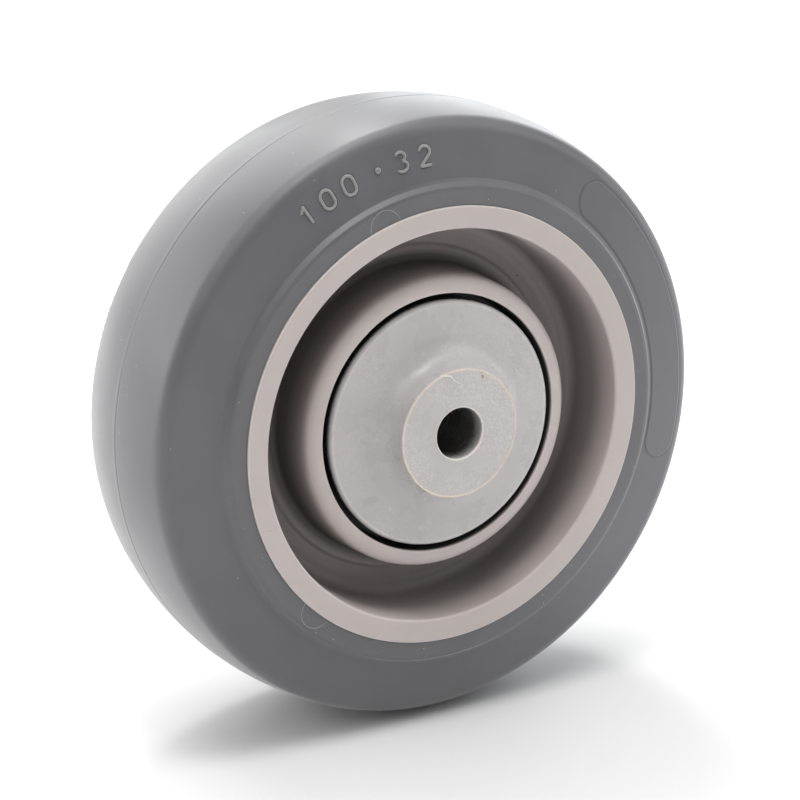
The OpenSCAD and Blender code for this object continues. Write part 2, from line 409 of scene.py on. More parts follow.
def mouldedFinish(name, look):
    # Cloudy shade, sparse specks of another colour, and a moulded grain in height and gloss.
    material, tree, shader = newFinish(name)
    place = objectPlace(tree)
    cloud = placeGroup(tree, "cloud", place, {
        "Shade A": look["shadeA"], "Shade B": look["shadeB"], "Scale": look["cloudScale"]})
    specks = placeGroup(tree, "specks", place, {
        "Scale": look["speckScale"], "Size": look["speckSize"], "Share": look["speckShare"]})
    grain = placeGroup(tree, "grain", place, {
        "Scale": look["grainScale"], "Coarse Scale": look["coarseScale"],
        "Coarse Weight": look["coarseWeight"]})
    faint = addMath(tree, "MULTIPLY", specks["Mask"], look["speckWeight"])
    tree.links.new(addTint(tree, faint, cloud["Color"], look["speckShade"]), shader.inputs["Base Color"])
    roughnessFrom(tree, shader, cloud["Fac"], look["roughLow"], look["roughHigh"])
    bumpFrom(tree, shader, grain["Height"], look["bump"], look["bumpDepth"])
    shader.inputs["Specular IOR Level"].default_value = look["specular"]
    shader.inputs["Sheen Weight"].default_value = look["sheen"]
    shader.inputs["Sheen Roughness"].default_value = sheenRough
    return material


def tintWhere(material, mask, tint, weight, blend="MIX"):
    # Lays a tint over the colour that already feeds the shader, as strongly as the mask says.
    tree = material.node_tree
    base = tree.nodes["Principled BSDF"].inputs["Base Color"]
    factor = addMath(tree, "MULTIPLY", mask, weight)
    tree.links.new(addTint(tree, factor, base.links[0].from_socket, tint, blend), base)


def tintRing(material, ring):
    # Tints a ring about the axle; its sizes are in millimetres.
    tree = material.node_tree
    inner, outer = ring["radii"]
    low, high = ring["heights"]
    mask = placeGroup(tree, "ring", objectPlace(tree), {
        "Inner": inner * mm, "Outer": outer * mm, "Low": low * mm, "High": high * mm,
        "Soft": ring["soft"] * mm, "Soft Height": ring.get("softHeight", ring["soft"]) * mm})
    tintWhere(material, mask["Mask"], ring["tint"], ring["weight"], ring.get("blend", "MIX"))


def plainFinish(name, shade, rough):
    material, _, shader = newFinish(name)
    shader.inputs["Base Color"].default_value = shade
    shader.inputs["Roughness"].default_value = rough
    return material


rubberLook = {
    "shadeA": (0.1275, 0.1275, 0.1345, 1), "shadeB": (0.1395, 0.1385, 0.1435, 1), "cloudScale": 90.0,
    "speckScale": 900.0, "speckSize": 0.16, "speckShare": 0.03, "speckWeight": 0.25,
    "speckShade": (0.55, 0.55, 0.54, 1),
    "roughLow": 0.36, "roughHigh": 0.44, "specular": 0.5, "sheen": 0.50,
    "grainScale": 5200.0, "coarseScale": 700.0, "coarseWeight": 0.6, "bump": 0.25, "bumpDepth": 0.00003,
}

centreLook = {
    "shadeA": (0.533, 0.479, 0.460, 1), "shadeB": (0.560, 0.503, 0.483, 1), "cloudScale": 110.0,
    "speckScale": 700.0, "speckSize": 0.14, "speckShare": 0.02, "speckWeight": 0.25,
    "speckShade": (0.25, 0.23, 0.22, 1),
    "roughLow": 0.42, "roughHigh": 0.52, "specular": 0.38, "sheen": 0.0,
    "grainScale": 3800.0, "coarseScale": 500.0, "coarseWeight": 0.7, "bump": 0.2, "bumpDepth": 0.00003,
}

guardLook = {
    "shadeA": (0.490, 0.468, 0.463, 1), "shadeB": (0.525, 0.501, 0.494, 1), "cloudScale": 160.0,
    "speckScale": 520.0, "speckSize": 0.2, "speckShare": 0.08, "speckWeight": 0.3,
    "speckShade": (0.70, 0.68, 0.66, 1),
    "roughLow": 0.24, "roughHigh": 0.34, "specular": 0.5, "sheen": 0.0,
    "grainScale": 4200.0, "coarseScale": 900.0, "coarseWeight": 0.9, "bump": 0.3, "bumpDepth": 0.00004,
}

# Pale rubber for raised marks, partly scuffed and partly painted lighter for the light on their tops, and
# near-black rubber for painted shadow beside them.
scuffedAndLitLook = dict(rubberLook, shadeA=(0.275, 0.27, 0.265, 1), shadeB=(0.32, 0.315, 0.305, 1))
paintedShadowLook = dict(rubberLook, shadeA=(0.060, 0.063, 0.066, 1), shadeB=(0.070, 0.072, 0.075, 1))

rubber = mouldedFinish("greyRubber", rubberLook)
scuffedAndLitRubber = mouldedFinish("scuffedAndLitRubber", scuffedAndLitLook)
paintedShadowRubber = mouldedFinish("paintedShadowRubber", paintedShadowLook)
centrePlastic = mouldedFinish("centrePlastic", centreLook)
guardPlastic = mouldedFinish("guardPlastic", guardLook)

steelLook = {
    "cloudScale": 240.0, "roughSpread": 0.2,
    "grain": {"Scale": 900.0, "Coarse Scale": 200.0, "Coarse Weight": 0.4},
    "bump": 0.15, "bumpDepth": 0.00002,
}


def turnedSteel(name, shadeA, shadeB, rough, lineScale):
    # Ground steel: a grain squeezed along the axle by lineScale, so that its fine lines run round it.
    material, tree, shader = newFinish(name)
    place = objectPlace(tree)
    cloud = placeGroup(tree, "cloud", place, {
        "Shade A": shadeA, "Shade B": shadeB, "Scale": steelLook["cloudScale"]})
    squeezed = addNode(tree, "ShaderNodeMapping", values={"Scale": (1, lineScale, 1)},
                       links={"Vector": place})
    lines = placeGroup(tree, "grain", squeezed.outputs["Vector"], steelLook["grain"])
    tree.links.new(cloud["Color"], shader.inputs["Base Color"])
    shader.inputs["Metallic"].default_value = 1.0
    bumpFrom(tree, shader, lines["Height"], steelLook["bump"], steelLook["bumpDepth"])
    spread = steelLook["roughSpread"]
    roughnessFrom(tree, shader, cloud["Fac"], rough * (1 - spread), rough * (1 + spread))
    return material


steelFinishes = {
    "bearing_steel": turnedSteel("bearingSteel", (0.62, 0.63, 0.65, 1), (0.56, 0.57, 0.59, 1), 0.22, 6.0),
    "ball_steel": turnedSteel("ballSteel", (0.72, 0.73, 0.75, 1), (0.68, 0.69, 0.71, 1), 0.10, 1.0),
    "cage_steel": turnedSteel("cageSteel", (0.50, 0.49, 0.47, 1), (0.43, 0.42, 0.40, 1), 0.35, 1.0),
    "shield_steel": turnedSteel("shieldSteel", (0.58, 0.59, 0.60, 1), (0.52, 0.53, 0.54, 1), 0.30, 1.0),
}
steelNodes = {
    "bearing_steel": ["bearing_outer_ring", "bearing_inner_ring"],
    "ball_steel": sorted(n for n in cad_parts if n.startswith("ball_")),
    "cage_steel": ["cage_half_front", "cage_half_back", "cage_rivets"],
    "shield_steel": ["bearing_shield_front", "bearing_shield_back"],
}
for slotName, names in steelNodes.items():
    for nodeName in names:
        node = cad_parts[nodeName]
        node.data.materials.clear()
        node.data.materials.append(steelFinishes[slotName])
print("finishes ready")


# Tyre: crowned tread, round shoulders, flat sides that lean in a little, and a raised band round the rim.
tyre = {
    "crown": 49.0,              # radius of the tread in section
    "shoulder": 3.0,
    "lean": 8.7,                # degrees by which the flat side falls towards the tread
    "flatStart": 0.08,          # flat stretch that keeps the shoulder's shading off the side
    "bandDepth": 1.2,           # how far the flat side's inner edge lies below the raised band
    "bandTop": 37.8, "topRounding": 0.8,      # radii between which the step to the band runs
    "bandFoot": 39.42, "footRounding": 0.08,
    "ledge": (38.95, 0.22, 0.15), "brow": (38.35, 1.08, 0.3),     # radius, height over the side, rounding
    "rimRadius": 35.37, "rimRounding": 0.12,
    "ribRoot": 2.52, "ribHalf": 4.02, "ribTip": ribTip + 0.02, "ribRounding": 0.5,
    "seamAt": 0.9, "seamDepth": 0.045, "seamWidth": 0.13,         # parting line beside the tread's middle
    "lipHeight": 0.035, "lipWidth": 0.45,                         # swelling behind it
    "crownSteps": 41, "seamSteps": 25, "seamReach": 0.02,         # reach in radians of the crown
    "shoulderSteps": 14, "steps": 480,
}
sideHalf = tyreHalf - tyre["bandDepth"]
leanAngle = math.radians(tyre["lean"])


def flankHeight(radius):
    # Height of the flat side: sideHalf at the foot of the band, less (radius - foot) * tan(lean).
    return sideHalf - (radius - tyre["bandFoot"]) * math.tan(leanAngle)


def shoulderCentre():
    # The shoulder's arc touches the crown, whose centre lies at middle, and the leaning flank: its
    # centre is (foot - middle) . n - shoulder along the flank's normal n, and the rest along the flank.
    middle = treadRadius - tyre["crown"]
    normal = (math.sin(leanAngle), math.cos(leanAngle))
    off = (tyre["bandFoot"] - middle) * normal[0] + sideHalf * normal[1] - tyre["shoulder"]
    along = math.sqrt((tyre["crown"] - tyre["shoulder"]) ** 2 - off ** 2)
    return middle + normal[0] * off + normal[1] * along, normal[1] * off - normal[0] * along


def treadOutline():
    # The crown's arc, then the shoulder's arc on each side. At a distance b from the parting line the
    # crown's radius gains lipHeight * exp(-(b / lipWidth + 1)^2) - seamDepth * exp(-(b / seamWidth)^2).
    t = tyre
    middle = treadRadius - t["crown"]
    centreRadius, centreHeight = shoulderCentre()
    swing = math.atan2(centreHeight, centreRadius - middle)
    seam = t["seamAt"] / t["crown"]
    across = np.concatenate([np.linspace(-1, 1, t["crownSteps"]) * swing,
                             seam + np.linspace(-1, 1, t["seamSteps"]) * t["seamReach"]])
    across = np.unique(np.round(across, 6))
    beside = (across - seam) * t["crown"]
    relief = (t["lipHeight"] * np.exp(-((beside + t["lipWidth"]) / t["lipWidth"]) ** 2)
              - t["seamDepth"] * np.exp(-(beside / t["seamWidth"]) ** 2))
    crown = np.stack([middle + (t["crown"] + relief) * np.cos(across), t["crown"] * np.sin(across)], axis=1)
    a = np.linspace(swing, turn / 4 - leanAngle, t["shoulderSteps"])[1:]
    shoulder = np.stack([centreRadius + t["shoulder"] * np.cos(a), centreHeight + t["shoulder"] * np.sin(a)],
                        axis=1)
    inwards = np.array([-math.cos(leanAngle), math.sin(leanAngle)])
    side = np.vstack([shoulder, shoulder[-1] + t["flatStart"] * inwards])
    return np.vstack([mirrored(side), crown, side])


def makeTyre():
    t = tyre
    side = [
        (t["bandFoot"], sideHalf, t["footRounding"]),
        (t["ledge"][0], sideHalf + t["ledge"][1], t["ledge"][2]),
        (t["brow"][0], sideHalf + t["brow"][1], t["brow"][2]),
        (t["bandTop"], tyreHalf, t["topRounding"]),
        (t["rimRadius"], tyreHalf, t["rimRounding"]),
        (t["rimRadius"], t["ribRoot"], 0),
        (t["ribTip"], t["ribHalf"], t["ribRounding"]),
    ]
    tread = treadOutline()
    inner = roundedOutline(np.vstack([[*tread[-1], 0], side, mirrored(side), [*tread[0], 0]]))
    outline = np.vstack([tread, inner[1:-1]])
    makePiece("rubber_tyre", [lathe(outline, t["steps"])], rubber, "wheel", ["tyre"])


makeTyre()


# Wheel centre: rim barrel, web with a shallow ring groove, hub with its recesses and bearing seat.
centre = {
    "rim": 35.35, "rimEdge": 0.16, "mouth": 31.72, "mouthRounding": 0.45, "dish": 0.4,
    "barrelFoot": 31.25, "barrelFillet": 1.5, "web": 3.5,
    "grooveOut": 29.7, "grooveIn": 26.6, "grooveDepth": 0.35,
    "grooveSlopes": (0.9, 0.5), "grooveRoundings": (0.5, 0.6, 0.3, 0.3),      # from the outer side inwards
    "hubFoot": 24.375, "hubFillet": 0.8, "hubTop": 23.75, "hub": 13.15, "hubRounding": 2.0,
    "recess": 21.0, "recessEdge": 0.2, "recessFloor": 8.0, "floorRounding": 0.5,
    "lip": 15.8, "lipEdges": (0.4, 0.1),
    "seat": 17.52, "seatFace": 5.5, "seatRoundings": (0.25, 0.05),
    "bead": 0.3, "beadFrom": 0.2, "beadRounding": 0.15, "leadIn": 0.6, "leadRounding": 0.1,
    "ribRoot": 2.5, "ribHalf": 4.0, "ribRounding": 0.5,
    "steps": 360,
}


def makeCentre():
    c = centre
    grooveFloor = c["web"] - c["grooveDepth"]
    beadTop = -c["seatFace"] - c["beadFrom"]
    rounding = c["grooveRoundings"]
    side = [
        (c["rim"], rimHalf, c["rimEdge"]),
        (c["mouth"], rimHalf - c["dish"], c["mouthRounding"]),
        (c["barrelFoot"], c["web"], c["barrelFillet"]),
        (c["grooveOut"], c["web"], rounding[0]),
        (c["grooveOut"] - c["grooveSlopes"][0], grooveFloor, rounding[1]),
        (c["grooveIn"] + c["grooveSlopes"][1], grooveFloor, rounding[2]),
        (c["grooveIn"], c["web"], rounding[3]),
        (c["hubFoot"], c["web"], c["hubFillet"]),
        (c["hubTop"], c["hub"], c["hubRounding"]),
        (c["recess"], c["hub"], c["recessEdge"]),
        (c["recess"], c["recessFloor"], c["floorRounding"]),
    ]
    seat = [
        (c["lip"], c["recessFloor"], c["lipEdges"][0]),
        (c["lip"], c["seatFace"], c["lipEdges"][1]),
        (c["seat"], c["seatFace"], c["seatRoundings"][0]),
        (c["seat"], beadTop, c["seatRoundings"][1]),
        (c["seat"] - c["bead"], beadTop - c["bead"], c["beadRounding"]),
        (c["seat"] + c["leadIn"], -c["recessFloor"], c["leadRounding"]),
    ]
    rib = [
        (c["rim"], -c["ribRoot"], 0),
        (ribTip, -c["ribHalf"], c["ribRounding"]),
        (ribTip, c["ribHalf"], c["ribRounding"]),
        (c["rim"], c["ribRoot"], 0),
    ]
    outline = roundedOutline(np.vstack([side, seat, mirrored(side), rib]))
    makePiece("moulded_centre", [lathe(outline, c["steps"])], centrePlastic, "wheel",
              ["wheel_centre"])


makeCentre()

# Painted shade darkens the recess and warms it a little, more so at the hub's foot, and makes the gap round
# the guard dark. Painted highlights make the rim's two edges and the hub's edge paler than their faces.
centrePaintedShadeAndHighlights = [
    # painted shade over the recess, deepest below the rim's face
    {"radii": (23.5, 31.9), "heights": (-1, 12.6), "soft": 0.5, "softHeight": 6.0,
     "tint": (0.535, 0.53, 0.515, 1), "weight": 1.0, "blend": "MULTIPLY"},
    # more painted shade at the hub's foot
    {"radii": (23.5, 25.7), "heights": (-1, 9.0), "soft": 1.0, "softHeight": 5.0,
     "tint": (0.385, 0.385, 0.38, 1), "weight": 1.0, "blend": "MULTIPLY"},
    # painted shade in the gap round the guard
    {"radii": (15.0, 21.12), "heights": (-1, 12.8), "soft": 0.1, "softHeight": 0.8,
     "tint": (0.05, 0.047, 0.045, 1), "weight": 1.0},
    # painted highlight on the rim's outer edge
    {"radii": (35.16, 36.0), "heights": (15.9, 20), "soft": 0.08,
     "tint": (0.70, 0.655, 0.62, 1), "weight": 0.6},
    # painted highlight on the mouth's edge
    {"radii": (31.4, 32.02), "heights": (15.5, 20), "soft": 0.15,
     "tint": (0.62, 0.58, 0.55, 1), "weight": 0.4},
    # painted highlight on the hub's inner edge
    {"radii": (20.95, 21.35), "heights": (12.95, 20), "soft": 0.12,
     "tint": (0.66, 0.60, 0.57, 1), "weight": 0.4},
]
for ring in centrePaintedShadeAndHighlights:
    tintRing(centrePlastic, ring)


# Thread guards: a disc that flares up to a boss, with a sleeve inside the bearing.
guard = {
    "edge": 13.4, "thick": 2.0, "edgeRounding": 0.65, "backRounding": 0.3, "rise": 0.4,
    "boss": 10.4, "bossEdge": 0.15, "flare": 4.6, "bore": 4.15, "boreEdge": 0.2,
    "hollow": 1.0, "hollowRounding": 0.8,             # how far the hollow behind the disc lies off the collar
    "collar": 5.5, "collarEdge": 0.1,
    "sleeve": 7.48, "sleeveEnd": 0.2, "sleeveRounding": 0.5, "sleeveBoreEdge": 0.15,
    "steps": 288,
}


def makeGuard(side):
    g = guard
    discBack = g["edge"] - g["thick"]
    outline = roundedOutline([
        (g["bore"], bossHalf, g["boreEdge"]),
        (g["boss"], bossHalf, g["bossEdge"]),
        (g["boss"], g["edge"] + g["rise"], g["flare"]),
        (guardRadius, g["edge"], g["edgeRounding"]),
        (guardRadius, discBack, g["backRounding"]),
        (g["boss"] + g["hollow"], discBack, g["hollowRounding"]),
        (g["boss"], g["collar"], g["collarEdge"]),
        (g["sleeve"], g["collar"], g["collarEdge"]),
        (g["sleeve"], g["sleeveEnd"], g["sleeveRounding"]),
        (g["bore"], g["sleeveEnd"], g["sleeveBoreEdge"]),
    ])
    if side == "back":
        outline = outline * [1, -1]
    makePiece("guard_disc_" + side, [lathe(outline, g["steps"])], guardPlastic, "axle_core",
              ["thread_guard_" + side])


makeGuard("front")
makeGuard("back")

# The boss face is a little warmer. Flecks of frost lie in patches over the disc, and finer and denser
# ones on the boss face.
bossFaceTint = {"radii": (4.0, 10.5), "heights": (bossHalf - 0.1, 30), "soft": 0.1,
                "tint": (0.52, 0.487, 0.474, 1), "weight": 0.7}
frosts = [
    {"scale": 2600.0, "patchScale": 70.0, "patchFrom": 0.52, "above": -30,
     "tint": (0.74, 0.72, 0.705, 1), "weight": 0.30},
    {"scale": 3600.0, "patchScale": 120.0, "patchFrom": 0.40, "above": bossHalf - 0.1,
     "tint": (0.74, 0.71, 0.69, 1), "weight": 0.5},
]
frostEdge = 0.1     # softness of the height above which a frost lies, in millimetres

# The boss's rim is cream like its flash. The bore's edge gets a pale cream painted highlight, and the disc a
# painted highlight just before it rounds over. Painted shade darkens the bore itself and the gap round the
# disc.
guardFlashAndPaintedLightRings = [
    {"radii": (10.08, 10.6), "heights": (bossHalf - 0.25, 30), "soft": 0.12,
     "tint": (0.74, 0.66, 0.59, 1), "weight": 0.85},
    # painted highlight, pale cream, on the bore's chamfer
    {"radii": (4.0, 4.34), "heights": (bossHalf - 0.35, 30), "soft": 0.08,
     "tint": (0.86, 0.80, 0.75, 1), "weight": 0.9},
    # painted highlight where the disc starts to round over
    {"radii": (19.25, 19.6), "heights": (13.0, 14.5), "soft": 0.2,
     "tint": (0.66, 0.64, 0.63, 1), "weight": 0.4},
    # painted shade inside the bore
    {"radii": (0, 4.3), "heights": (-1, bossHalf - 1.6), "soft": 0.1, "softHeight": 2.4,
     "tint": (0.10, 0.095, 0.09, 1), "weight": 1.0},
    # painted shade in the gap round the disc
    {"radii": (19.3, 21), "heights": (-1, 12.9), "soft": 0.2, "softHeight": 1.0,
     "tint": (0.03, 0.028, 0.027, 1), "weight": 1.0},
]


def addFrost(material, frost):
    tree = material.node_tree
    place = objectPlace(tree)
    flecks = placeGroup(tree, "frost", place, {
        "Scale": frost["scale"], "Patch Scale": frost["patchScale"], "Patch From": frost["patchFrom"]})
    _, height, _, _ = aroundAxle(tree, place)
    above = addRamp(tree, height, frost["above"] * mm, frostEdge * mm)
    tintWhere(material, addMath(tree, "MULTIPLY", flecks["Mask"], above), frost["tint"], frost["weight"])


tintRing(guardPlastic, bossFaceTint)
for frost in frosts:
    addFrost(guardPlastic, frost)
for ring in guardFlashAndPaintedLightRings:
    tintRing(guardPlastic, ring)


# Raised numbers on the flat side: the wheel's own diameter and width, as plain round strokes.
numbers = {
    "radius": 43.4, "height": 2.96,                           # between the middles of the strokes
    "degrees": (-33.2, -28.0, -22.7, -15.8, -10.3, -4.9),     # clockwise from the top
    "stroke": 0.25, "relief": 0.30, "dot": 0.09, "dotSteps": 24,
    "spacing": 0.035, "sides": 12,                            # spacing and dot as shares of the height
    # The shadow ribbon is painted shadow: a dark flat band under each stroke, shifted to the lower right.
    "shadow": 0.42, "shadowRelief": 0.02, "shadowShift": (0.07, -0.06),   # dark edge to the lower right
}


def arcPoints(cx, cy, rx, ry, first, last, count=18):
    # Points on an ellipse about (cx, cy), from one angle to another, in degrees.
    a = np.radians(np.linspace(first, last, count))
    return np.stack([cx + rx * np.cos(a), cy + ry * np.sin(a)], axis=1)


def linePoints(*ends, count=8):
    # Evenly spaced points on straight runs between the given ends.
    share = np.linspace(0, 1, count)[:, None]
    runs = [np.array(a) + (np.array(b) - a) * share for a, b in zip(ends, ends[1:])]
    return np.vstack([runs[0]] + [run[1:] for run in runs[1:]])


def signPath(sign):
    # Stroke of one sign in a box that is 1 high and 0.66 wide about its middle; True means closed.
    if sign == ".":
        return arcPoints(0, 0, numbers["dot"], numbers["dot"], 0, 360, numbers["dotSteps"])[:-1], True
    if sign == "0":
        head = arcPoints(0, 0.17, 0.33, 0.33, 0, 180)
        return np.vstack([head, arcPoints(0, -0.17, 0.33, 0.33, 180, 360)]), True
    if sign == "1":
        return linePoints((-0.26, 0.22), (0.04, 0.5), (0.04, -0.5)), False
    if sign == "2":
        head = arcPoints(0, 0.21, 0.32, 0.29, 170, -35)
        return np.vstack([head, linePoints(head[-1], (-0.31, -0.5), (0.34, -0.5))[1:]]), False
    head = arcPoints(-0.02, 0.26, 0.28, 0.24, 155, -80)       # 3, the last sign in use
    return np.vstack([head, arcPoints(-0.02, -0.23, 0.33, 0.27, 80, -155)]), False


def lengthAlong(path):
    return np.concatenate([[0], np.cumsum(np.linalg.norm(np.diff(path, axis=0), axis=1))])


def resample(path, spacing, closed):
    # The same path with even spacing along its length.
    if closed:
        path = np.vstack([path, path[:1]])
    along = lengthAlong(path)
    keep = np.concatenate([[True], np.diff(along) > 1e-9])
    at = np.linspace(0, along[-1], max(4, round(along[-1] / spacing)) + 1)
    even = np.stack([np.interp(at, along[keep], path[keep, k]) for k in range(path.shape[1])], axis=1)
    return even[:-1] if closed else even


def strokeOnSide(path, angle, closed, stroke, relief, shift=(0, 0)):
    # A sign's path laid on the flat side: across goes along the tangent, up goes along the radius. An
    # open stroke ends in a half circle: its width is stroke * sqrt(1 - (1 - end / stroke)^2).
    n = numbers
    across = path[:, :1] * n["height"] + shift[0]
    radius = n["radius"] + path[:, 1:] * n["height"] + shift[1]
    tangent = np.array([math.cos(angle), 0, -math.sin(angle)])
    outward = np.array([math.sin(angle), 0, math.cos(angle)])
    points = outward * radius + tangent * across + towardsFront * flankHeight(radius)
    up = towardsFront * math.cos(leanAngle) + outward * math.sin(leanAngle)
    if closed:
        return loopPart(points, up, stroke, relief, n["sides"])
    along = lengthAlong(points)
    end = np.clip(np.minimum(along, along[-1] - along) / stroke, 0.02, 1)
    taper = np.sqrt(np.clip(1 - (1 - end) ** 2, 0, 1))
    return tubePart(points, up, stroke * taper, relief * (0.5 + 0.5 * taper), n["sides"])


def makeNumbers():
    n = numbers
    strokes = []
    shadows = []
    text = str(round(2 * treadRadius)) + "." + str(round(2 * tyreHalf))
    for degrees, sign in zip(n["degrees"], text):
        angle = math.radians(degrees)
        path, closed = signPath(sign)
        path = resample(path, n["spacing"], closed)
        strokes.append(strokeOnSide(path, angle, closed, n["stroke"], n["relief"]))
        shadows.append(strokeOnSide(path, angle, closed, n["shadow"], n["shadowRelief"], n["shadowShift"]))
    # Pale strokes, partly scuffed and partly painted light on their tops, and dark ribbons of painted shadow
    # beside them.
    makePiece("size_numbers", strokes, scuffedAndLitRubber, "wheel")
    makePiece("number_painted_shadows", shadows, paintedShadowRubber, "wheel")


makeNumbers()


# Low raised pad with round ends on the flat side, where a mould insert sat.
pad = {
    "from": 36.0, "to": 106.4, "inner": 39.7, "outer": 46.15, "relief": 0.10, "slope": 0.22,
    "insets": (-0.06, 0.0, 0.2, 0.4, 0.6, 0.8, 1.0, 1.2), "sunk": 0.03,     # rows as shares of the slope
    "straightSteps": 90, "endSteps": 31,
    # The dark line outside the pad is painted shade in the crease at its foot.
    "line": (-0.02, 0.22), "lineSoft": (0.08, 0.12), "creaseShadeWeight": 0.55,    # dark line outside the pad
    "creaseShadeTint": (0.06, 0.062, 0.066, 1), "lineAbove": 12.0, "lineAboveSoft": 1.0,
}
padMiddle = (pad["inner"] + pad["outer"]) / 2
padHalf = (pad["outer"] - pad["inner"]) / 2
padAngle = math.radians(pad["from"] + pad["to"]) / 2
padLength = math.radians(pad["to"] - pad["from"]) * padMiddle - 2 * padHalf


def makePad():
    # Stadium outline in (arc length, radius), offset inwards while it rises by 3s^2 - 2s^3. The flat top
    # is a ladder of quads between the two long sides.
    p = pad
    straight = np.linspace(-0.5, 0.5, p["straightSteps"]) * padLength
    flat = np.ones(len(straight))
    a = np.radians(np.linspace(-90, 90, p["endSteps"] + 2)[1:-1])
    rows = []
    for share in p["insets"]:
        w = padHalf - share * p["slope"]
        s = min(max(share, 0), 1)
        lift = p["relief"] * (3 * s ** 2 - 2 * s ** 3) - (p["sunk"] if share < 0 else 0)
        along = np.concatenate([straight, padLength / 2 + w * np.cos(a),
                                straight[::-1], -padLength / 2 - w * np.cos(a)])
        out = np.concatenate([-w * flat, w * np.sin(a), w * flat, -w * np.sin(a)])
        radius = padMiddle + out
        rows.append(onSide(radius, padAngle + along / padMiddle, flankHeight(radius) + lift))
    points, quads, triangles = gridPart(np.stack(rows), closeColumns=True)
    count = len(rows[0])
    half = count // 2
    ring = np.roll(np.arange(count), p["endSteps"] // 2 + 1) + (len(rows) - 1) * count    # from a tip
    low = ring[1:half]
    high = ring[:half:-1]
    top = np.stack([high[:-1], high[1:], low[1:], low[:-1]], axis=-1)
    makePiece("side_pad", [(points, np.vstack([quads, top]), triangles)], rubber, "wheel")


makePad()


def padLineGroup():
    # Mask of the painted crease shade just outside the pad: the distance to the pad's stadium outline,
    # hypot(max(|arc| - length / 2, 0), r - middle) - half, lies within line on the visible side.
    p = pad
    group, given, result = newGroup("paintedPadCrease", [], maskOutput)
    radius, _, angle, y = aroundAxle(group, given["Vector"])
    turned = addMath(group, "ABSOLUTE", addMath(group, "SUBTRACT", angle, padAngle))
    along = addMath(group, "SUBTRACT", addMath(group, "MULTIPLY", turned, padMiddle), padLength / 2)
    out = addMath(group, "SUBTRACT", addMath(group, "MULTIPLY", radius, 1 / mm), padMiddle)
    reach = addLength(group, addMath(group, "MAXIMUM", along, 0.0), out)
    apart = addMath(group, "SUBTRACT", reach, padHalf)
    line = addMath(group, "MULTIPLY", addRamp(group, apart, p["line"][0], p["lineSoft"][0]),
                   addRamp(group, p["line"][1], apart, p["lineSoft"][1]))
    above = addRamp(group, -p["lineAbove"] * mm, y, p["lineAboveSoft"] * mm)
    group.links.new(addMath(group, "MULTIPLY", line, above), result["Mask"])
    return group


# Painted shade: the rubber darkens in a line round the pad's foot.
groups["paintedPadCrease"] = padLineGroup()
paintedPadCrease = placeGroup(rubber.node_tree, "paintedPadCrease", objectPlace(rubber.node_tree), {})
tintWhere(rubber, paintedPadCrease["Mask"], pad["creaseShadeTint"], pad["creaseShadeWeight"])


# Thin flash lines round the ejector pins beside the rim.
pins = {
    "radius": 2.6, "centre": 35.35, "angles": (-18.9, -137.2),
    "line": 0.06, "relief": 0.07, "steps": 160, "sides": 8, "offRim": 0.08,
}


def makePinLines():
    # A circle round each pin in the plane of the band, cut where it would lie on the plastic rim.
    p = pins
    parts = []
    a = np.linspace(0, turn, p["steps"], endpoint=False)
    for degrees in p["angles"]:
        angle = math.radians(degrees)
        x = p["centre"] * math.sin(angle) + p["radius"] * np.sin(a)
        z = p["centre"] * math.cos(angle) + p["radius"] * np.cos(a)
        onRubber = np.hypot(x, z) > centre["rim"] + p["offRim"]
        start = int(np.argmax(onRubber & ~np.roll(onRubber, 1)))
        order = (start + np.arange(onRubber.sum())) % len(a)
        path = np.stack([x, np.full(len(a), -tyreHalf), z], axis=1)[order]
        parts.append(tubePart(path, towardsFront, p["line"], p["relief"], p["sides"]))
    # The pale rubber is partly scuffed and partly painted light on the raised lines.
    makePiece("ejector_marks", parts, scuffedAndLitRubber, "wheel")


makePinLines()


# Small things on a moulded wheel: flash at the edges, a curl of swarf, hairs, lint and dirt.
creamFlash = plainFinish("creamFlash", (0.70, 0.62, 0.545, 1), 0.6)
paleLint = plainFinish("paleLint", (0.80, 0.78, 0.76, 1), 0.8)
darkDirt = plainFinish("darkDirt", (0.045, 0.035, 0.03, 1), 0.8)
greyHair = plainFinish("greyHair", (0.33, 0.34, 0.33, 1), 0.7)


def waver(angles, seed, fewest=2, most=40, count=12):
    # Even unevenness about 0 round a circle: sum of cos(k * a + phase) with seeded k and phases.
    rng = np.random.default_rng(seed)
    k = rng.integers(fewest, most, count)
    phase = rng.uniform(0, turn, count)
    return np.sum(np.cos(np.outer(angles, k) + phase), axis=1) / math.sqrt(count / 2)


def lumpy(angles, seed, unevenness, least=0.3, most=2.0):
    # Factor 1 + unevenness * waver, kept between least and most.
    return np.clip(1 + unevenness * waver(angles, seed), least, most)


def smoothPath(points, count):
    # Catmull-Rom curve: 0.5 * (2b + (c - a)t + (2a - 5b + 4c - d)t^2 + (3b - a - 3c + d)t^3).
    padded = np.vstack([2 * points[0] - points[1], points, 2 * points[-1] - points[-2]])
    at = np.linspace(0, len(points) - 1, count)
    i = np.minimum(at.astype(int), len(points) - 2)
    t = (at - i)[:, None]
    a, b, c, d = padded[i], padded[i + 1], padded[i + 2], padded[i + 3]
    square = (2 * a - 5 * b + 4 * c - d) * t ** 2
    cube = (3 * b - a - 3 * c + d) * t ** 3
    return 0.5 * (2 * b + (c - a) * t + square + cube)


def sidePath(stops, count):
    # Smooth path through (radius, degrees clockwise, height) stops on the visible side.
    stop = np.array(stops, float)
    return smoothPath(onSide(stop[:, 0], np.radians(stop[:, 1]), stop[:, 2]), count)


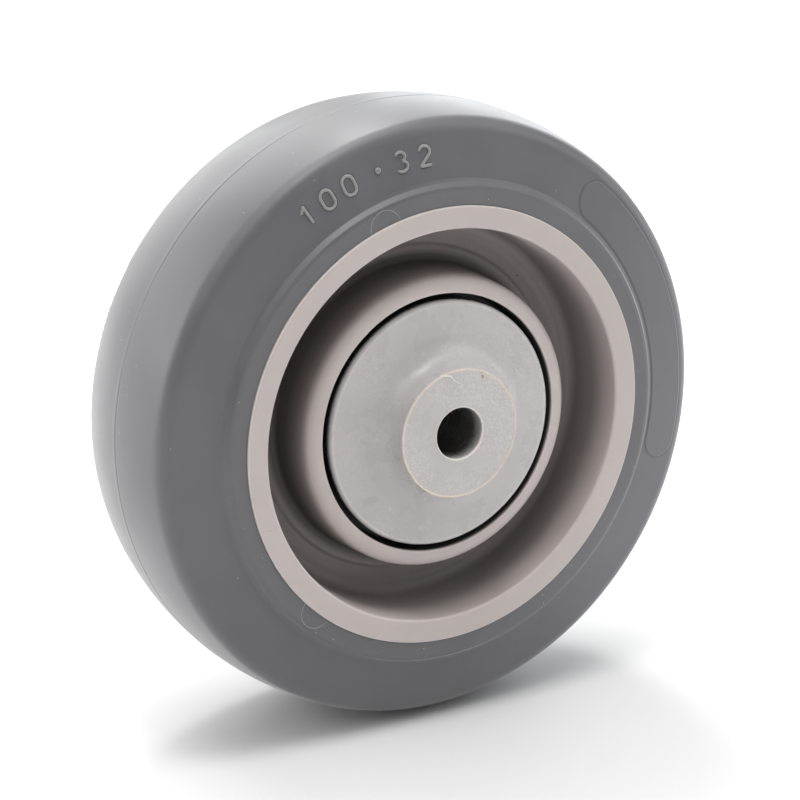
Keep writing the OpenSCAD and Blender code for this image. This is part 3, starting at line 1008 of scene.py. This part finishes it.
flash = {
    "radius": 10.27, "width": 0.12, "height": 0.06, "steps": 300, "sides": 8,
    "wander": 0.04, "wanderSeed": 3, "unevenness": 0.25, "seed": 5, "sunk": 0.01,
    # One crumb of it at the upper right: radius and degrees clockwise of its stops.
    "crumb": [(9.98, 22.5), (9.9, 25.0), (9.55, 26.2), (9.15, 25.6)],
    "crumbWidth": 0.24, "crumbShape": 0.6, "crumbLift": 0.02, "crumbSteps": 20, "crumbSides": 10,
    "crumbUnevenness": 0.35, "crumbSeed": 8,
}


def makeBossFlash():
    # An uneven bead round the boss face's edge, and the crumb.
    f = flash
    a = turn * np.arange(f["steps"]) / f["steps"]
    path = onSide(f["radius"] + f["wander"] * waver(a, f["wanderSeed"]), a, bossHalf - f["sunk"])
    uneven = lumpy(a, f["seed"], f["unevenness"])
    bead = loopPart(path, towardsFront, f["width"] * uneven, f["height"] * uneven, f["sides"])
    crumbPath = sidePath([(r, d, bossHalf + f["crumbLift"]) for r, d in f["crumb"]], f["crumbSteps"])
    width = f["crumbWidth"] * lumpy(np.linspace(0, 2, f["crumbSteps"]), f["crumbSeed"], f["crumbUnevenness"])
    crumb = tubePart(crumbPath, towardsFront, width, width * f["crumbShape"], f["crumbSides"])
    makePiece("boss_flash", [bead, crumb], creamFlash, "axle_core")


curl = {
    # Radius, degrees clockwise and height over the boss face of its stops.
    "stops": [(10.45, -21.0, 0.03), (10.25, -17.0, 0.12), (9.78, -11.2, 0.16), (9.30, -9.6, 0.20),
              (8.80, -7.2, 0.26), (8.25, -2.2, 0.22), (7.92, 3.7, 0.06)],
    "width": (0.10, 0.14, 0.13, 0.075, 0.07, 0.065, 0.03), "shape": 0.8, "steps": 90, "sides": 8,
}


def makeCurl():
    # Fine swarf that lies on the boss face: its half width goes evenly between the given ones.
    c = curl
    path = sidePath([(r, d, bossHalf + lift) for r, d, lift in c["stops"]], c["steps"])
    width = np.interp(np.linspace(0, 1, c["steps"]), np.linspace(0, 1, len(c["width"])), c["width"])
    part = tubePart(path, towardsFront, width, width * c["shape"], c["sides"])
    makePiece("swarf_curl", [part], paleLint, "axle_core")


fin = {
    "reach": 0.16, "rag": 0.16, "ragShare": (0.6, 0.5), "root": 0.25, "thick": 0.05,
    "seed": 11, "ragSeed": 2, "steps": 1400,
}


def makeFin():
    # Ragged flash round the middle of the back shoulder's arc: a thin strip whose outer edge is random
    # within rag times a share that wavers round the wheel. Its section leans outwards at 45 degrees.
    f = fin
    lean = math.sqrt(0.5)
    rootRadius, rootHeight = (v + tyre["shoulder"] * lean for v in shoulderCentre())
    rng = np.random.default_rng(f["seed"])
    a = turn * np.arange(f["steps"]) / f["steps"]
    share = np.clip(f["ragShare"][0] + f["ragShare"][1] * waver(a, f["ragSeed"]), 0, 1)
    reach = f["reach"] + f["rag"] * rng.uniform(-1, 1, len(a)) * share
    tip = onSide(rootRadius + reach * lean, a, -rootHeight - reach * lean)
    side = onSide(lean, a, lean) * f["thick"]
    foot = onSide(rootRadius - f["root"], a, f["root"] - rootHeight)
    strip = gridPart(np.stack([foot + side, tip, foot - side]), closeRows=True, closeColumns=True)
    makePiece("shoulder_flash", [strip], rubber, "wheel")


hairs = {
    # Radius, degrees clockwise and height of the stops of each, and its half width at the root.
    "stops": [[(48.3, -116.6, -12.3), (49.1, -115.4, -12.6), (50.0, -113.2, -13.1)],
              [(47.6, -34.6, -12.9), (48.4, -35.2, -12.8), (49.4, -35.0, -12.4)]],
    "widths": (0.055, 0.04), "tip": 0.5, "steps": 24, "sides": 6,
}


def makeHairs():
    # Each hair thins evenly from its root to tip times its width.
    h = hairs
    parts = []
    for stops, root in zip(h["stops"], h["widths"]):
        width = root * np.linspace(1, h["tip"], h["steps"])
        parts.append(tubePart(sidePath(stops, h["steps"]), towardsFront, width, width, h["sides"]))
    makePiece("shoulder_hairs", parts, greyHair, "wheel")


speck = {
    "corners": 7, "reach": (0.6, 1.2), "flatten": 0.75, "sunk": 0.01, "peak": 0.35,
    "across": (0.3, 0.2, 0.9),      # any direction that no speck faces
}


def specksAt(middles, outwards, sizes, seed):
    # Flat specks: a ring of corners about each middle at size * random reach, with a low peak.
    s = speck
    corners = s["corners"]
    rng = np.random.default_rng(seed)
    outwards = unit(outwards)
    side = unit(np.cross(outwards, s["across"]))
    other = np.cross(outwards, side)
    a = turn * np.arange(corners) / corners
    sizes = np.asarray(sizes)[:, None]
    reach = sizes * rng.uniform(*s["reach"], (len(middles), corners))
    ring = (middles[:, None] + side[:, None] * (reach * np.cos(a))[..., None]
            + other[:, None] * (reach * np.sin(a) * s["flatten"])[..., None] - outwards[:, None] * s["sunk"])
    peak = middles + outwards * sizes * s["peak"]
    points = np.concatenate([ring, peak[:, None]], axis=1).reshape(-1, 3)
    first = np.arange(corners)
    fan = np.stack([first, np.roll(first, -1), np.full(corners, corners)], axis=-1)
    triangles = (fan + (corners + 1) * np.arange(len(middles))[:, None, None]).reshape(-1, 3)
    return points, np.zeros((0, 4), int), triangles


lint = {
    "onTread": 90, "treadReach": 11.5, "outwards": (1, 0.204, 1),
    "onBand": 26, "bandFrom": 35.8, "bandTo": 38.0,
    "smallest": 0.05, "largest": 0.13, "seed": 21, "shapeSeed": 22,
}


def makeLint():
    # Scattered evenly over the tread, whose radius at a height h is crown's middle + sqrt(crown^2 - h^2),
    # and thinly over the band on the visible side.
    n = lint
    rng = np.random.default_rng(n["seed"])
    angle = rng.uniform(0, turn, n["onTread"])
    height = rng.uniform(-n["treadReach"], n["treadReach"], n["onTread"])
    radius = treadRadius - tyre["crown"] + np.sqrt(tyre["crown"] ** 2 - height ** 2)
    onTread = onSide(radius, angle, height)
    bandAngle = rng.uniform(0, turn, n["onBand"])
    onBand = onSide(rng.uniform(n["bandFrom"], n["bandTo"], n["onBand"]), bandAngle, tyreHalf)
    middles = np.vstack([onTread, onBand])
    outwards = np.vstack([onTread * n["outwards"], np.broadcast_to(towardsFront, onBand.shape)])
    sizes = rng.uniform(0, 1, len(middles)) ** 2 * (n["largest"] - n["smallest"]) + n["smallest"]
    part = specksAt(middles, outwards, sizes, n["shapeSeed"])
    makePiece("lint_specks", [part], paleLint, "wheel")


dirtSeed = 31
bossDirt = [      # radius, degrees clockwise, height, half size
    (9.83, -97.5, bossHalf, 0.11), (10.12, -123.3, bossHalf, 0.13), (10.15, -139.9, bossHalf, 0.12),
    (10.1, -131.0, bossHalf, 0.07), (10.2, -146.0, bossHalf, 0.06), (9.95, -104.0, bossHalf, 0.05),
]
centreDirt = [    # one speck in the web's groove and one on the rim's dished face
    (28.1, 46.8, centre["web"] - centre["grooveDepth"], 0.24),
    (33.7, -109.2, rimHalf - centre["dish"] * 0.45, 0.09),
]


def makeDirt(name, spots, body):
    # Dark specks at chosen spots of the visible side.
    radius, degrees, height, size = np.array(spots).T
    middles = onSide(radius, np.radians(degrees), height)
    part = specksAt(middles, np.broadcast_to(towardsFront, middles.shape), size, dirtSeed)
    makePiece(name, [part], darkDirt, body)


makeBossFlash()
makeCurl()
makeFin()
makeHairs()
makeLint()
makeDirt("boss_dirt", bossDirt, "axle_core")
makeDirt("centre_dirt", centreDirt, "wheel")
print("small things made")


# Camera at the photograph's angle, floor and soft light.
camera = {
    "azimuth": -30.31, "elevation": 17.21, "lens": 102.8, "sensor": 36.0, "clip": (0.01, 50.0),
    "distance": 370.0, "right": 0.265, "up": 0.36,   # millimetres, in the camera's own directions
}


def directionAt(a, e):
    # Unit vector (sin a cos e, -cos a cos e, sin e): a turns from the visible side to the right (+X).
    return Vector((math.sin(a) * math.cos(e), -math.cos(a) * math.cos(e), math.sin(e)))


def makeCamera():
    # The camera sits back from the wheel's middle, then shifts a little to its own right and up.
    a, e = math.radians(camera["azimuth"]), math.radians(camera["elevation"])
    right = Vector((math.cos(a), math.sin(a), 0))
    up = Vector((-math.sin(a) * math.sin(e), math.cos(a) * math.sin(e), math.cos(e)))
    data = bpy.data.cameras.new("camera")
    data.lens = camera["lens"]
    data.sensor_width = camera["sensor"]
    data.clip_start, data.clip_end = camera["clip"]
    seat = bpy.data.objects.new("camera", data)
    bpy.context.scene.collection.objects.link(seat)
    shift = right * camera["right"] + up * camera["up"]
    seat.location = (directionAt(a, e) * camera["distance"] + shift) * mm
    seat.rotation_euler = (turn / 4 - e, 0, a)
    bpy.context.scene.camera = seat


makeCamera()


studio = {
    "floorRadius": 6.0, "floorSides": 128, "floorRough": 0.9, "floorGloss": 0.1, "fill": 0.02,
    "frontShade": 0.75, "backShade": 0.85, "fadeFrom": -0.10, "fadeTo": 0.15,    # metres along Y
}
white = (1, 1, 1, 1)


def makeFloor():
    # One flat disc under the tread, wide enough to reach the horizon; its shade goes smoothly from
    # frontShade to backShade along Y, so that less light comes back onto the visible side.
    s = studio
    a = turn * np.arange(s["floorSides"]) / s["floorSides"]
    edge = np.stack([np.cos(a), np.sin(a), 0 * a], axis=1) * s["floorRadius"]
    mesh = bpy.data.meshes.new("floor")
    points = edge + [0, 0, -treadRadius * mm]
    mesh.from_pydata(points.tolist(), [], [list(range(len(a)))])
    material, tree, shader = newFinish("paleFloor")
    along = addNode(tree, "ShaderNodeSeparateXYZ", links={"Vector": objectPlace(tree)})
    shade = addNode(tree, "ShaderNodeMapRange", {"interpolation_type": "SMOOTHSTEP"},
                    {"From Min": s["fadeFrom"], "From Max": s["fadeTo"],
                     "To Min": s["frontShade"], "To Max": s["backShade"]},
                    {"Value": along.outputs["Y"]})
    tree.links.new(shade.outputs["Result"], shader.inputs["Base Color"])
    shader.inputs["Roughness"].default_value = s["floorRough"]
    shader.inputs["Specular IOR Level"].default_value = s["floorGloss"]
    mesh.materials.append(material)
    floor = bpy.data.objects.new("floor", mesh)
    bpy.context.scene.collection.objects.link(floor)


makeFloor()


def makeWorld():
    # A very dim fill all round; white where the camera looks past the floor.
    world = bpy.data.worlds.new("studioAir")
    bpy.context.scene.world = world
    world.use_nodes = True
    tree = world.node_tree
    background = tree.nodes["Background"]
    background.inputs["Color"].default_value = white
    background.inputs["Strength"].default_value = studio["fill"]
    seen = addNode(tree, "ShaderNodeBackground", values={"Color": white, "Strength": 1.0})
    path = addNode(tree, "ShaderNodeLightPath")
    mix = addNode(tree, "ShaderNodeMixShader",
                  links={0: path.outputs["Is Camera Ray"], 1: background.outputs[0], 2: seen.outputs[0]})
    tree.links.new(mix.outputs[0], tree.nodes["World Output"].inputs["Surface"])


makeWorld()

# Square soft boxes three metres away that all face the wheel: azimuth in degrees from the visible side
# towards the right (+X), elevation above the floor, side in metres and power in watts.
softBoxDistance = 3.0
softBoxes = {
    "overhead": (0, 90, 2.4, 49.5),
    "overheadLeft": (-45, 80, 0.6, 15.0),
    "leftHigh": (-60, 50, 2.0, 18.5),
    "leftLow": (-110, 8, 1.8, 28.5),
    "leftBehind": (-135, 20, 1.8, 24.5),
    "behindLow": (180, 20, 1.8, 22.5),
    "behindHigh": (180, 50, 2.0, 33.0),
    "behindSmall": (160, 55, 0.6, 20.0),
    "rightBehind": (135, 20, 1.8, 33.0),
    "rightLow": (80, 7, 0.8, 7.0),
    "rightHigh": (60, 60, 1.8, 11.0),
    "rightFront": (60, 35, 1.8, 16.5),
    "front": (45, 25, 1.8, 6.0),
    "frontLow": (0, 25, 1.8, 5.0),
}

# Round patches of the floor that glow upwards, as bright paper under a wheel does: azimuth in degrees,
# distance of the patch's middle from the axle in metres and radiance.
floorGlowShare = 0.6      # diameter as a share of the distance
floorGlowLift = 1.0       # millimetres above the floor
floorGlows = {
    "glowLeft": (-115, 0.09, 0.32),
    "glowRightFront": (45, 0.09, 0.77),
    "glowRightNear": (75, 0.17, 0.69),
    "glowRightFar": (75, 0.32, 0.91),
}

# Light from the left is a little warmer and light from the right a little cooler.
lampTints = {"left": (1.0, 0.975, 0.98), "right": (0.965, 0.985, 1.0)}


def makeLamp(name, shape, size, power, place, rotation):
    data = bpy.data.lights.new(name, "AREA")
    data.shape = shape
    data.size = size
    data.energy = power
    for side, tint in lampTints.items():
        if side in name.lower():
            data.color = tint
    lamp = bpy.data.objects.new(name, data)
    bpy.context.scene.collection.objects.link(lamp)
    lamp.location = place
    lamp.rotation_euler = rotation
    lamp.visible_camera = False


def makeSoftBox(name, azimuth, elevation, side, power):
    # Placed at distance * direction and turned to the wheel's middle.
    towards = directionAt(math.radians(azimuth), math.radians(elevation))
    facing = (-towards).to_track_quat("-Z", "Y").to_euler()
    makeLamp(name, "SQUARE", side, power, towards * softBoxDistance, facing)


def makeFloorGlow(name, azimuth, distance, radiance):
    # A disc just above the floor, facing up. Its power is pi * area * radiance.
    a = math.radians(azimuth)
    across = floorGlowShare * distance
    area = math.pi * across ** 2 / 4
    place = (distance * math.sin(a), -distance * math.cos(a), (floorGlowLift - treadRadius) * mm)
    makeLamp(name, "DISK", across, math.pi * area * radiance, place, (math.pi, 0, a))


for lampName, settings in softBoxes.items():
    makeSoftBox(lampName, *settings)
for lampName, settings in floorGlows.items():
    makeFloorGlow(lampName, *settings)

bpy.context.scene.view_settings.view_transform = "Standard"
bpy.context.scene.view_settings.look = "None"
print("studio ready")
